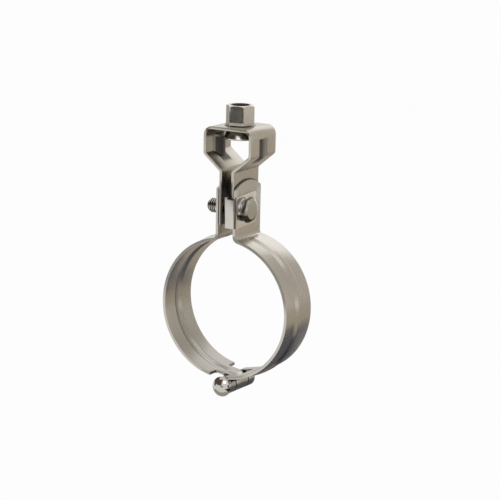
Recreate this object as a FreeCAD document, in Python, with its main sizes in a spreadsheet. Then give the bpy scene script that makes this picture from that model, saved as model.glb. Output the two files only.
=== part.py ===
import FreeCAD, Part
import math
import os

import Sketcher
from FreeCAD import Placement, Rotation, Vector

# A hanger that carries a pipe below a threaded rod. A swivel nut on the rod carries a folded yoke. The yoke's
# two legs hang between the ears of two half bands, which a bolt draws together, and the half bands are hinged
# under the pipe by a pin through rolled knuckles.
# X runs to the right across the band, Y along the pipe and Z up. The origin is at the centre of the pipe.

DRIVING_SIZES = (
    ("pipe_diameter", 76.3, "outside diameter of the pipe that the band holds"),
    ("band_width", 27.0, "width of both half bands along the pipe"),
    ("band_thickness", 1.6, "sheet thickness of the half bands"),
    ("rib_width", 7.5, "width of the stiffening rib at its foot, on the outside of the band"),
    ("rib_crest_width", 3.0, "width of the rib's flat crest"),
    ("rib_height", 1.0, "height of the rib's crest above the band"),
    ("rib_top_angle", 17.5, "angle from the top of the pipe to the rib's upper end"),
    ("rib_bottom_angle", 20.0, "angle from the bottom of the pipe to the lower end of the right rib"),
    ("rib_runout_angle", 12.0, "the same for the left rib, which runs out on the hinge tongue"),
    ("ear_bend_radius", 2.0, "inside radius of the bend between an ear and its half ring"),
    ("ear_corner_rise", 10.75, "height of the ears' top corners above the bolt"),
    ("ear_top_rise", 4.2, "rise of the ears' arched top above its corners"),
    ("hinge_drop", 0.85, "depth of the knuckles below the place where they would touch the pipe"),
    ("pin_diameter", 6.7, "shank of the hinge pin"),
    ("pin_clearance", 0.05, "radial clearance of the pin in the knuckles"),
    ("knuckle_wrap", 288.0, "angle through which the sheet is rolled round the pin"),
    ("tongue_width", 13.0, "width of the left half's middle knuckle"),
    ("knuckle_gap", 0.25, "gap between neighbouring knuckles"),
    ("window_reach", 8.0, "distance of the right half's window edge from the pin, across the band"),
    ("shoulder_reach", 8.4, "distance of the left half's shoulders from the pin, across the band"),
    ("root_radius", 1.5, "corner radius at the roots of the tongues"),
    ("pin_head_overhang", 0.6, "reach of the pin's domed head past the knuckles"),
    ("pin_head_rim", 1.1, "straight edge of the pin's head"),
    ("pin_head_dome", 2.7, "height of the dome on the pin's head"),
    ("pin_tail_lip", 0.85, "reach of the pin's peened tail past its shank"),
    ("pin_tail_height", 1.3, "height of the peened tail"),
    ("pin_tail_bevel", 0.8, "bevel round the end of the peened tail"),
    ("yoke_width", 30.2, "outside width of the yoke's upper frame"),
    ("yoke_inset", 0.3, "distance of the yoke's edges inside the half bands' edges, in front and behind"),
    ("yoke_thickness", 1.6, "sheet thickness of the yoke"),
    ("yoke_frame_height", 15.5, "height of the yoke's top face above the bend below each upright"),
    ("yoke_shoulder_height", 8.8, "rise of the slanted shoulders, from the legs to the uprights"),
    ("yoke_leg_rise", 20.45, "height of the bend above each leg over the bolt"),
    ("yoke_leg_reach", 9.05, "reach of the legs' lower ends below the bolt"),
    ("yoke_neck_width", 9.2, "outside width across the yoke's two legs"),
    ("yoke_corner_radius", 3.5, "inside radius of the yoke's top bends"),
    ("yoke_bend_radius", 1.2, "inside radius of the yoke's lower bends"),
    ("dart_width", 8.6, "width of the dart pressed into each upright and its lower bend, at the outer face"),
    ("dart_depth", 3.9, "depth of the dart"),
    ("dart_floor_width", 0.8, "width of the dart's floor, seen from outside"),
    ("dart_margin", 5.9, "distance of the dart's upper end from the yoke's top, at the outer face"),
    ("dart_end_slope", 0.65, "fall of the dart's upper end for each millimetre of its depth"),
    ("bolt_rise", 17.6, "height of the clamp bolt above the top of the pipe"),
    ("bolt_offset", 6.7, "distance of the clamp bolt in front of the middle of the band's width"),
    ("bolt_length", 22.0, "length of the clamp bolt under its head"),
    ("bolt_thread_diameter", 7.2, "mean diameter of the clamp bolt's thread"),
    ("bolt_head_flats", 13.0, "clamp bolt's head across its flats"),
    ("bolt_head_height", 5.2, "thickness of the clamp bolt's head"),
    ("bolt_head_bevel", 0.3, "distance of the bevel on the head's face from its flats"),
    ("bolt_hole_clearance", 0.9, "radial clearance of the plain bolt holes round the thread's mean diameter"),
    ("thread_depth", 0.45, "the same in the tapped hole, which is cut to the thread's crests"),
    ("boss_wall", 1.65, "wall of the drawn collar round the tapped hole"),
    ("boss_height", 1.0, "height of the drawn collar outside the left ear"),
    ("clip_thickness", 1.4, "sheet thickness of the clip plate"),
    ("clip_height", 17.4, "height of the clip plate"),
    ("clip_drop", 0.9, "distance of the clip plate's middle below the bolt"),
    ("clip_rear_reach", 12.8, "reach of the clip plate behind the bolt"),
    ("clip_flange_reach", 6.7, "depth of the clip plate's flange, across the band"),
    ("clip_gap", 0.1, "gap between the band's front edge and the clip's bend, where they come nearest"),
    ("clip_bend_radius", 0.3, "inside radius of the clip plate's bend"),
    ("clip_turn", 3.0, "angle by which the clip plate has turned about the bolt"),
    ("clip_flange_drop", 1.4, "drop from the plate's upper edge to the flange's"),
    ("clip_nib_width", 1.3, "width of the small nib on the flange's inner top corner"),
    ("clip_nib_height", 1.3, "height of that nib"),
    ("nut_flats", 14.0, "swivel nut across its flats"),
    ("nut_height", 10.8, "height of the swivel nut's hexagon"),
    ("nut_lift", 0.5, "gap under the hexagon while the yoke rests on the collar"),
    ("nut_turn", 14.0, "angle of the hexagon's first corner from the X axis"),
    ("nut_chamfer", 0.6, "width of the chamfer on the hexagon's upper corners"),
    ("nut_neck_wall", 1.55, "wall of the swivel nut's neck round its bore"),
    ("swivel_clearance", 0.08, "radial clearance of that neck in its hole"),
    ("nut_collar_lip", 1.3, "reach of the flared collar past the neck, where it bears on the top plate"),
    ("nut_collar_flare", 1.8, "further reach of the collar at its lower rim"),
    ("nut_collar_height", 5.8, "height of that collar"),
    ("nut_collar_rim", 1.1, "height of the collar's rim"),
    ("nut_collar_gap", 0.05, "gap between the collar and the top plate"),
    ("nut_collar_bevel", 0.3, "bevel round the collar's lower edge"),
    ("rod_hole_diameter", 7.9, "tapped bore for a 3/8 inch hanging rod"),
    ("rod_mouth_chamfer", 1.45, "width of the countersink at the bore's mouths"),
)

DOCUMENT = FreeCAD.newDocument("pipe_hanger_band")
SHEET = DOCUMENT.addObject("Spreadsheet::Sheet", "Sizes")
for row, (alias, value, meaning) in enumerate(DRIVING_SIZES, start=1):
    SHEET.set(f"A{row}", meaning)
    SHEET.set(f"B{row}", str(value))
    SHEET.setAlias(f"B{row}", alias)
DOCUMENT.recompute()


def size(alias):
    """The value of a driving size, in millimetres or degrees."""
    return float(SHEET.get(alias))


# Sizes and places that follow from the driving ones. Those that bind a feature are also written as expressions.
BORE = size("pipe_diameter") / 2
KNUCKLE_EYE = size("pin_diameter") / 2 + size("pin_clearance")
KNUCKLE = KNUCKLE_EYE + size("band_thickness")
PIN_DROP = BORE + KNUCKLE + size("hinge_drop")
BOLT_HEIGHT = BORE + size("bolt_rise")
EAR_CORNER = BOLT_HEIGHT + size("ear_corner_rise")
EAR_TOP = EAR_CORNER + size("ear_top_rise")
YOKE_LEG_END = BOLT_HEIGHT - size("yoke_leg_reach")
YOKE_NECK = BOLT_HEIGHT + size("yoke_leg_rise")
YOKE_SHOULDER = YOKE_NECK + size("yoke_shoulder_height")
YOKE_TOP = YOKE_SHOULDER + size("yoke_frame_height")
LEG_FACE = size("yoke_neck_width") / 2
CLIP_SEAT = LEG_FACE + size("band_thickness")
BOLT_SEAT = CLIP_SEAT + size("clip_thickness")
NUT_NECK = size("rod_hole_diameter") / 2 + size("nut_neck_wall")
BOLT_HEIGHT_RULE = "Sizes.pipe_diameter / 2 + Sizes.bolt_rise"
YOKE_TOP_RULE = (
    BOLT_HEIGHT_RULE + " + Sizes.yoke_leg_rise + Sizes.yoke_shoulder_height + Sizes.yoke_frame_height"
)
PIN_DROP_RULE = (
    "(Sizes.pipe_diameter + Sizes.pin_diameter) / 2"
    " + Sizes.pin_clearance + Sizes.band_thickness + Sizes.hinge_drop"
)
BOLT_HOLE_RULE = "Sizes.bolt_thread_diameter + 2 * Sizes.bolt_hole_clearance"
TAPPED_HOLE_RULE = "Sizes.bolt_thread_diameter + 2 * Sizes.thread_depth"
NUT_NECK_RULE = "Sizes.rod_hole_diameter + 2 * Sizes.nut_neck_wall"
BOLT_SEAT_RULE = "Sizes.yoke_neck_width / 2 + Sizes.band_thickness + Sizes.clip_thickness"


def polar(centre, radius, angle):
    """The point at an angle in degrees on a circle in a sketch."""
    turn = math.radians(angle)
    return (centre[0] + radius * math.cos(turn), centre[1] + radius * math.sin(turn))


class Outline:
    """A chain of lines and arcs drawn from point to point. Side -1 mirrors it in the sketch's upright axis."""

    def __init__(self, start, side=1):
        self.side = side
        self.start = start
        self.here = start
        self.edges = []

    def place(self, point):
        return Vector(self.side * point[0], point[1], 0)

    def line_to(self, *points):
        for point in points:
            self.edges.append(Part.LineSegment(self.place(self.here), self.place(point)))
            self.here = point
        return self

    def arc_to(self, centre, radius, first_angle, last_angle):
        middle = polar(centre, radius, (first_angle + last_angle) / 2)
        end = polar(centre, radius, last_angle)
        self.edges.append(Part.Arc(self.place(self.here), self.place(middle), self.place(end)))
        self.here = end
        return self

    def closed(self):
        return self.line_to(self.start).edges


def add_body(label):
    body = DOCUMENT.addObject("PartDesign::Body", label)
    body.Label = label
    return body


def add_sketch(body, name, plane_role, lift=None):
    """A sketch on one of the body's own origin planes, lifted off it by an expression."""
    sketch = body.newObject("Sketcher::SketchObject", name)
    planes = {feature.Role: feature for feature in body.Origin.OriginFeatures}
    sketch.AttachmentSupport = [(planes[plane_role], "")]
    sketch.MapMode = "FlatFace"
    if lift:
        sketch.setExpression("AttachmentOffset.Base.z", lift)
    return sketch


def add_circle(sketch, diameter, height=None, ahead=None):
    """A circle bound to the sheet in size, in height and in its distance to the left of the upright axis."""
    circle = sketch.addGeometry(Part.Circle(Vector(-1, 1, 0), Vector(0, 0, 1), 1))
    index = sketch.addConstraint(Sketcher.Constraint("Diameter", circle, 2.0))
    sketch.setExpression(f"Constraints[{index}]", diameter)
    if height is None:
        sketch.addConstraint(Sketcher.Constraint("Coincident", circle, 3, -1, 1))
        return
    index = sketch.addConstraint(Sketcher.Constraint("DistanceX", circle, 3, -1, 1, 1.0))
    sketch.setExpression(f"Constraints[{index}]", ahead)
    index = sketch.addConstraint(Sketcher.Constraint("DistanceY", -1, 1, circle, 3, 1.0))
    sketch.setExpression(f"Constraints[{index}]", height)


def add_pad(body, sketch, length, both_ways=False, away=False):
    pad = body.newObject("PartDesign::Pad", sketch.Name + "_pad")
    pad.Profile = sketch
    pad.setExpression("Length", length)
    pad.SideType = "Symmetric" if both_ways else "One side"
    pad.Reversed = away
    return pad


def add_pocket(body, sketch, length=None, both_ways=False, away=False):
    """A cut of a given length, or right through where no length is given."""
    pocket = body.newObject("PartDesign::Pocket", sketch.Name + "_pocket")
    pocket.Profile = sketch
    if length:
        pocket.setExpression("Length", length)
    else:
        pocket.Type = "ThroughAll"
    pocket.SideType = "Symmetric" if both_ways else "One side"
    pocket.Reversed = away
    return pocket


def add_turned(body, sketch, kind, sketch_axis):
    """A revolution or groove of a sketch about one of its own axes."""
    turned = body.newObject(f"PartDesign::{kind}", f"{sketch.Name}_{kind.lower()}")
    turned.Profile = sketch
    turned.ReferenceAxis = (sketch, [sketch_axis])
    turned.Angle = 360
    return turned


def hexagon(flats, first_corner):
    corner = flats / math.sqrt(3)
    corners = [polar((0, 0), corner, first_corner + 60 * step) for step in range(6)]
    return Outline(corners[0]).line_to(*corners[1:]).closed()


def half_band_outline(side):
    """Section of a half band across the pipe: ear, bend, half ring, straight run to the hinge, rolled knuckle."""
    sheet = size("band_thickness")
    outer = BORE + sheet
    bend = size("ear_bend_radius")
    bend_centre_x = LEG_FACE + sheet + bend
    bend_centre = (bend_centre_x, math.sqrt((outer + bend) ** 2 - bend_centre_x ** 2))
    bend_angle = math.degrees(math.atan2(bend_centre[1], bend_centre[0]))
    pin = (0, -PIN_DROP)
    lean = math.degrees(math.acos((BORE + KNUCKLE) / PIN_DROP))
    ring_end = lean - 90
    roll_start = lean + 90
    roll_end = roll_start + size("knuckle_wrap")
    outline = Outline((LEG_FACE, EAR_TOP), side)
    outline.line_to((LEG_FACE, bend_centre[1]))
    outline.arc_to(bend_centre, bend + sheet, 180, bend_angle + 180)
    outline.arc_to((0, 0), BORE, bend_angle, ring_end)
    outline.line_to(polar(pin, KNUCKLE, roll_start))
    outline.arc_to(pin, KNUCKLE, roll_start, roll_end)
    outline.line_to(polar(pin, KNUCKLE_EYE, roll_end))
    outline.arc_to(pin, KNUCKLE_EYE, roll_end, roll_start)
    outline.line_to(polar((0, 0), outer, ring_end))
    outline.arc_to((0, 0), outer, ring_end, bend_angle)
    outline.arc_to(bend_centre, bend, bend_angle + 180, 180)
    outline.line_to((LEG_FACE + sheet, EAR_TOP))
    return outline.closed()


def cut_ear_top(body):
    """Trims the ear's top to an arch between its two corners."""
    half = size("band_width") / 2
    rise = size("ear_top_rise")
    radius = (half ** 2 + rise ** 2) / (2 * rise)
    centre = (0, EAR_TOP - radius)
    corner_angle = math.degrees(math.atan2(EAR_CORNER - centre[1], half))
    outline = Outline((half, EAR_CORNER))
    outline.arc_to(centre, radius, corner_angle, 180 - corner_angle)
    outline.line_to((-half - rise, EAR_CORNER), (-half - rise, EAR_TOP + rise))
    outline.line_to((half + rise, EAR_TOP + rise), (half + rise, EAR_CORNER))
    sketch = add_sketch(body, "ear_top", "YZ_Plane")
    sketch.addGeometry(outline.closed())
    add_pocket(body, sketch, both_ways=True)


def cut_window(body):
    """Opens the right half between its two outer tongues, for the left half's tongue and knuckle."""
    half = size("tongue_width") / 2 + size("knuckle_gap")
    past_knuckle = -2 * KNUCKLE
    reach = size("window_reach")
    corner = size("root_radius")
    outline = Outline((past_knuckle, -half))
    outline.line_to((reach - corner, -half))
    outline.arc_to((reach - corner, corner - half), corner, -90, 0)
    outline.line_to((reach, half - corner))
    outline.arc_to((reach - corner, half - corner), corner, 0, 90)
    outline.line_to((past_knuckle, half))
    sketch = add_sketch(body, "window", "XY_Plane")
    sketch.addGeometry(outline.closed())
    add_pocket(body, sketch)


def cut_shoulders(body):
    """Ends the left half in front of and behind its tongue."""
    half = size("tongue_width") / 2
    past_knuckle = 2 * KNUCKLE
    reach = size("shoulder_reach")
    corner = size("root_radius")
    edge = size("band_width")
    sketch = add_sketch(body, "shoulders", "XY_Plane")
    outline = Outline((past_knuckle, half))
    outline.line_to((corner - reach, half))
    outline.arc_to((corner - reach, half + corner), corner, 270, 180)
    outline.line_to((-reach, edge), (past_knuckle, edge))
    sketch.addGeometry(outline.closed())
    outline = Outline((past_knuckle, -half))
    outline.line_to((corner - reach, -half))
    outline.arc_to((corner - reach, -half - corner), corner, 90, 180)
    outline.line_to((-reach, -edge), (past_knuckle, -edge))
    sketch.addGeometry(outline.closed())
    add_pocket(body, sketch)


def rib_form(name, side, depth, bottom_angle):
    """The rib's outer form, or its hollow where a depth is given: a bent bar with half cones as its ends."""
    slant = (size("rib_width") - size("rib_crest_width")) / 2 / size("rib_height")
    crest = BORE + size("band_thickness") + size("rib_height") - depth
    narrower = depth * math.tan(math.atan(1 / slant) / 2)
    crest_half = size("rib_crest_width") / 2 - narrower
    height = size("rib_height") + size("band_thickness") / 2
    foot = crest - height
    foot_half = crest_half + height * slant
    top_angle = 90 - size("rib_top_angle")
    low_angle = bottom_angle - 90
    section = DOCUMENT.addObject("Sketcher::SketchObject", name + "_section")
    outline = Outline((foot, -foot_half)).line_to((crest, -crest_half), (crest, crest_half), (foot, foot_half))
    section.addGeometry(outline.closed())
    bar = DOCUMENT.addObject("Part::Revolution", name + "_bar")
    bar.Source = section
    bar.Axis = Vector(0, -1, 0)
    bar.Angle = top_angle - low_angle
    bar.Solid = True
    bar.Placement = Placement(Vector(), Rotation(Vector(0, 1, 0), -low_angle if side > 0 else top_angle - 180))
    pieces = [bar]
    for end, angle, sense in (("top", top_angle, 1), ("bottom", low_angle, -1)):
        across, up = polar((0, 0), 1, angle)
        outward = Vector(side * across, 0, up)
        ahead = Vector(-side * sense * up, 0, sense * across)
        cap = DOCUMENT.addObject("Part::Cone", f"{name}_{end}")
        cap.Radius1 = foot_half
        cap.Radius2 = crest_half
        cap.Height = height
        cap.Angle = 180
        cap.Placement = Placement(outward * foot, Rotation(ahead.cross(outward), ahead, outward, "ZYX"))
        pieces.append(cap)
    return pieces


def add_rib(label, blank, side, bottom_angle):
    """Presses the rib outwards: its form is added outside the sheet and its hollow is cut inside."""
    shape = blank
    for number, piece in enumerate(rib_form(label + "_rib", side, 0, bottom_angle)):
        joined = DOCUMENT.addObject("Part::Fuse", f"{label}_joined_{number}")
        joined.Base = shape
        joined.Tool = piece
        shape = joined
    for number, piece in enumerate(rib_form(label + "_hollow", side, size("band_thickness"), bottom_angle)):
        hollowed = DOCUMENT.addObject("Part::Cut", f"{label}_hollowed_{number}")
        hollowed.Base = shape
        hollowed.Tool = piece
        shape = hollowed
    return mark_bearing_strips(label, shape)


def mark_bearing_strips(label, shape):
    """Divides the bore along the rib's sides, so that the two strips that grip the pipe are faces of their own."""
    core = DOCUMENT.addObject("Part::Cylinder", label + "_core")
    core.setExpression("Radius", "Sizes.pipe_diameter / 2")
    core.setExpression("Height", "Sizes.rib_width")
    core.Placement = Placement(Vector(0, size("rib_width") / 2, 0), Rotation(Vector(1, 0, 0), 90))
    marked = DOCUMENT.addObject("Part::Cut", label)
    marked.Base = shape
    marked.Tool = core
    marked.Refine = False
    marked.Label = label
    return marked


def half_band_blank(name, side):
    """A folded and rolled half band before its rib is pressed."""
    body = add_body(name)
    sketch = add_sketch(body, "section", "XZ_Plane")
    sketch.addGeometry(half_band_outline(side))
    add_pad(body, sketch, "Sizes.band_width", both_ways=True)
    cut_ear_top(body)
    return body


def make_right_half_band():
    body = half_band_blank("right_blank", 1)
    cut_window(body)
    hole = add_sketch(body, "bolt_hole", "YZ_Plane")
    add_circle(hole, BOLT_HOLE_RULE, BOLT_HEIGHT_RULE, "Sizes.bolt_offset")
    add_pocket(body, hole, both_ways=True)
    return add_rib("right_half_band", body, 1, size("rib_bottom_angle"))


def make_left_half_band():
    body = half_band_blank("left_blank", -1)
    cut_shoulders(body)
    boss = add_sketch(body, "boss", "YZ_Plane", "-(Sizes.yoke_neck_width / 2 + Sizes.band_thickness / 2)")
    add_circle(boss, TAPPED_HOLE_RULE + " + 2 * Sizes.boss_wall", BOLT_HEIGHT_RULE, "Sizes.bolt_offset")
    add_pad(body, boss, "Sizes.band_thickness / 2 + Sizes.boss_height", away=True)
    hole = add_sketch(body, "tapped_hole", "YZ_Plane")
    add_circle(hole, TAPPED_HOLE_RULE, BOLT_HEIGHT_RULE, "Sizes.bolt_offset")
    add_pocket(body, hole, both_ways=True)
    return add_rib("left_half_band", body, -1, size("rib_runout_angle"))


def offset_corners(points, distance):
    """Corners of a line parallel to a chain of points, on its right."""
    shifted = []
    for start, end in zip(points, points[1:]):
        length = math.dist(start, end)
        across = (distance * (end[1] - start[1]) / length, -distance * (end[0] - start[0]) / length)
        shifted.append(((start[0] + across[0], start[1] + across[1]), (end[0] + across[0], end[1] + across[1])))
    corners = [shifted[0][0]]
    for (first, second), (third, fourth) in zip(shifted, shifted[1:]):
        run = (second[0] - first[0], second[1] - first[1])
        next_run = (fourth[0] - third[0], fourth[1] - third[1])
        cross = run[0] * next_run[1] - run[1] * next_run[0]
        share = ((third[0] - first[0]) * next_run[1] - (third[1] - first[1]) * next_run[0]) / cross
        corners.append((first[0] + share * run[0], first[1] + share * run[1]))
    corners.append(shifted[-1][1])
    return corners


def draw_bends(outline, points, radii):
    """Continues an outline along a chain of points, with a tangent arc of its own radius at each inner one."""
    for before, corner, after, radius in zip(points, points[1:], points[2:], radii):
        heading = math.degrees(math.atan2(corner[1] - before[1], corner[0] - before[0]))
        leaving = math.degrees(math.atan2(after[1] - corner[1], after[0] - corner[0]))
        turn = (leaving - heading + 180) % 360 - 180
        side = math.copysign(1, turn)
        setback = radius * math.tan(math.radians(abs(turn)) / 2)
        start = polar(corner, -setback, heading)
        centre = polar(start, radius, heading + side * 90)
        outline.line_to(start)
        outline.arc_to(centre, radius, heading - side * 90, heading + turn - side * 90)
    outline.line_to(points[-1])


def yoke_corners():
    """Corners of the yoke's outer face, from the left leg over the top to the right leg."""
    upright = size("yoke_width") / 2
    right = [(upright, YOKE_TOP), (upright, YOKE_SHOULDER), (LEG_FACE, YOKE_NECK), (LEG_FACE, YOKE_LEG_END)]
    return [(-across, up) for across, up in reversed(right)] + right


def yoke_outline():
    """Section of the folded yoke: its outer face, then its inner face back to the start."""
    sheet = size("yoke_thickness")
    top = size("yoke_corner_radius")
    bend = size("yoke_bend_radius")
    outer = yoke_corners()
    inner = offset_corners(outer, sheet)
    outer_radii = (bend, bend + sheet, top + sheet, top + sheet, bend + sheet, bend)
    inner_radii = (bend + sheet, bend, top, top, bend, bend + sheet)
    outline = Outline(outer[0])
    draw_bends(outline, outer, outer_radii)
    outline.line_to(inner[-1])
    draw_bends(outline, inner[::-1], inner_radii)
    return outline.closed()


def dart_form(name, side, start, start_height, floor, floor_height, half_width, narrowing):
    """A tapered bar between two depths under an upright's outer face, each with its upper and lower end."""
    upright = size("yoke_width") / 2
    low, top = start_height
    floor_low, floor_top = floor_height
    wedge = DOCUMENT.addObject("Part::Wedge", name)
    wedge.Xmin, wedge.Xmax = -half_width, half_width
    wedge.X2min, wedge.X2max = narrowing - half_width, half_width - narrowing
    wedge.Ymin, wedge.Ymax = 0, floor - start
    wedge.Zmin, wedge.Zmax = low, top
    wedge.Z2min, wedge.Z2max = floor_low, floor_top
    inward = Vector(-side, 0, 0)
    wedge.Placement = Placement(Vector(side * (upright - start), 0, 0),
                                Rotation(inward.cross(Vector(0, 0, 1)), inward, Vector(0, 0, 1), "ZYX"))
    return wedge


def press_darts(blank):
    """Presses a dart into each upright down to its lower bend: a ridge inside the yoke and a groove outside."""
    sheet = size("yoke_thickness")
    depth = size("dart_depth")
    half = size("dart_width") / 2
    flank = (half - size("dart_floor_width") / 2) / depth
    fall = size("dart_end_slope")
    slope = size("yoke_shoulder_height") / (size("yoke_width") / 2 - LEG_FACE)
    end = YOKE_TOP - size("dart_margin")
    ridge_half = half + sheet * math.hypot(1, flank)
    ridge_end = end + sheet * math.hypot(1, fall)
    inner_corner = offset_corners(yoke_corners(), sheet)[5][1]
    shape = blank
    for side, name in ((-1, "left"), (1, "right")):
        start, floor = sheet * 0.75, depth + sheet
        low = [inner_corner - slope * (place - sheet) - sheet / 3 for place in (start, floor)]
        top = [ridge_end - fall * place for place in (start, floor)]
        ridge = dart_form(name + "_ridge", side, start, (low[0], top[0]), floor, (low[1], top[1]),
                          ridge_half - flank * start, flank * (floor - start))
        joined = DOCUMENT.addObject("Part::Fuse", name + "_joined")
        joined.Base = shape
        joined.Tool = ridge
        start, floor = -sheet / 2, depth
        low = YOKE_SHOULDER - 2 * depth * slope
        groove = dart_form(name + "_groove", side, start, (low, end - fall * start), floor, (low, end - fall * floor),
                           half - flank * start, flank * (floor - start))
        shape = DOCUMENT.addObject("Part::Cut", "yoke" if side > 0 else name + "_grooved")
        shape.Base = joined
        shape.Tool = groove
    shape.Label = "yoke"
    return shape


def make_yoke():
    body = add_body("yoke_blank")
    section = add_sketch(body, "section", "XZ_Plane")
    section.addGeometry(yoke_outline())
    add_pad(body, section, "Sizes.band_width - 2 * Sizes.yoke_inset", both_ways=True)
    neck_hole = add_sketch(body, "neck_hole", "XY_Plane", YOKE_TOP_RULE + " + Sizes.yoke_thickness")
    add_circle(neck_hole, NUT_NECK_RULE + " + 2 * Sizes.swivel_clearance")
    add_pocket(body, neck_hole, "3 * Sizes.yoke_thickness")
    bolt_holes = add_sketch(body, "bolt_holes", "YZ_Plane")
    add_circle(bolt_holes, BOLT_HOLE_RULE, BOLT_HEIGHT_RULE, "Sizes.bolt_offset")
    add_pocket(body, bolt_holes, both_ways=True)
    return press_darts(body)


def make_swivel_nut():
    body = add_body("swivel_nut")
    hex_foot = YOKE_TOP + size("nut_lift")
    hex_top = hex_foot + size("nut_height")
    collar_top = YOKE_TOP - size("yoke_thickness") - size("nut_collar_gap")
    collar_foot = collar_top - size("nut_collar_height")
    collar = NUT_NECK + size("nut_collar_lip")
    rim = collar + size("nut_collar_flare")
    bevel = size("nut_collar_bevel")
    turned = Outline((0, hex_top))
    turned.line_to((NUT_NECK, hex_top), (NUT_NECK, collar_top), (collar, collar_top))
    turned.line_to((rim, collar_foot + size("nut_collar_rim")), (rim, collar_foot + bevel))
    turned.line_to((rim - bevel, collar_foot), (0, collar_foot))
    sketch = add_sketch(body, "turned_part", "XZ_Plane")
    sketch.addGeometry(turned.closed())
    add_turned(body, sketch, "Revolution", "V_Axis")
    flats = add_sketch(body, "hexagon", "XY_Plane", YOKE_TOP_RULE + " + Sizes.nut_lift")
    flats.addGeometry(hexagon(size("nut_flats"), size("nut_turn")))
    add_pad(body, flats, "Sizes.nut_height")
    inside = size("nut_flats") / 2
    outside = inside + 2 * size("nut_chamfer")
    fall = 2 * size("nut_chamfer") * math.tan(math.radians(30))
    corners = add_sketch(body, "corner_chamfers", "XZ_Plane")
    upper = Outline((inside, hex_top)).line_to((outside, hex_top - fall), (outside, hex_top))
    corners.addGeometry(upper.closed())
    add_turned(body, corners, "Groove", "V_Axis")
    hole = size("rod_hole_diameter") / 2
    mouth = hole + size("rod_mouth_chamfer")
    bore = Outline((0, hex_top)).line_to((mouth, hex_top), (hole, hex_top - mouth + hole))
    bore.line_to((hole, collar_foot + mouth - hole), (mouth, collar_foot), (0, collar_foot))
    sketch = add_sketch(body, "tapped_bore", "XZ_Plane")
    sketch.addGeometry(bore.closed())
    add_turned(body, sketch, "Groove", "V_Axis")
    return body


def make_hinge_pin():
    """The pin lies along Y, with its domed head in front and its peened tail behind."""
    body = add_body("hinge_pin")
    shank = size("pin_diameter") / 2
    head = KNUCKLE + size("pin_head_overhang")
    rim = size("pin_head_rim")
    dome = size("pin_head_dome")
    tail = shank + size("pin_tail_lip")
    tail_end = size("band_width") / 2 + size("pin_clearance") + size("pin_tail_height")
    bevel = size("pin_tail_bevel")
    face = size("band_width") / 2 + size("pin_clearance")
    dome_radius = (head ** 2 + dome ** 2) / (2 * dome)
    dome_centre = (-face - rim - dome + dome_radius, 0)
    dome_angle = math.degrees(math.asin(head / dome_radius))
    outline = Outline((-face - rim - dome, 0))
    outline.arc_to(dome_centre, dome_radius, 180, 180 - dome_angle)
    outline.line_to((-face, head), (-face, shank), (face, shank), (face, tail))
    outline.line_to((tail_end - bevel, tail), (tail_end, tail - bevel), (tail_end, 0))
    sketch = add_sketch(body, "turned_part", "YZ_Plane")
    sketch.setExpression("AttachmentOffset.Base.y", f"-({PIN_DROP_RULE})")
    sketch.addGeometry(outline.closed())
    add_turned(body, sketch, "Revolution", "H_Axis")
    return body


def make_clamp_bolt():
    """The bolt lies along X, with its head on the right and a plain core in place of its thread."""
    body = add_body("clamp_bolt")
    thread = size("bolt_thread_diameter") / 2
    tip = BOLT_SEAT - size("bolt_length")
    point = thread / 4
    inside_head = BOLT_SEAT + size("bolt_head_height") / 2
    shank = Outline((tip, 0)).line_to((tip, thread - point), (tip + point, thread), (inside_head, thread))
    shank.line_to((inside_head, 0))
    sketch = add_sketch(body, "shank", "XZ_Plane")
    sketch.addGeometry(shank.closed())
    add_turned(body, sketch, "Revolution", "H_Axis")
    flats = add_sketch(body, "hexagon", "YZ_Plane", BOLT_SEAT_RULE)
    flats.addGeometry(hexagon(size("bolt_head_flats"), 0))
    add_pad(body, flats, "Sizes.bolt_head_height")
    face = BOLT_SEAT + size("bolt_head_height")
    inside = size("bolt_head_flats") / 2 - size("bolt_head_bevel")
    outside = size("bolt_head_flats")
    fall = (outside - inside) * math.tan(math.radians(30))
    chamfer = Outline((face, inside)).line_to((face - fall, outside), (face, outside))
    sketch = add_sketch(body, "head_chamfer", "XZ_Plane")
    sketch.addGeometry(chamfer.closed())
    add_turned(body, sketch, "Groove", "H_Axis")
    body.Placement = Placement(Vector(0, -size("bolt_offset"), BOLT_HEIGHT), Rotation())
    return body


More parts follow.
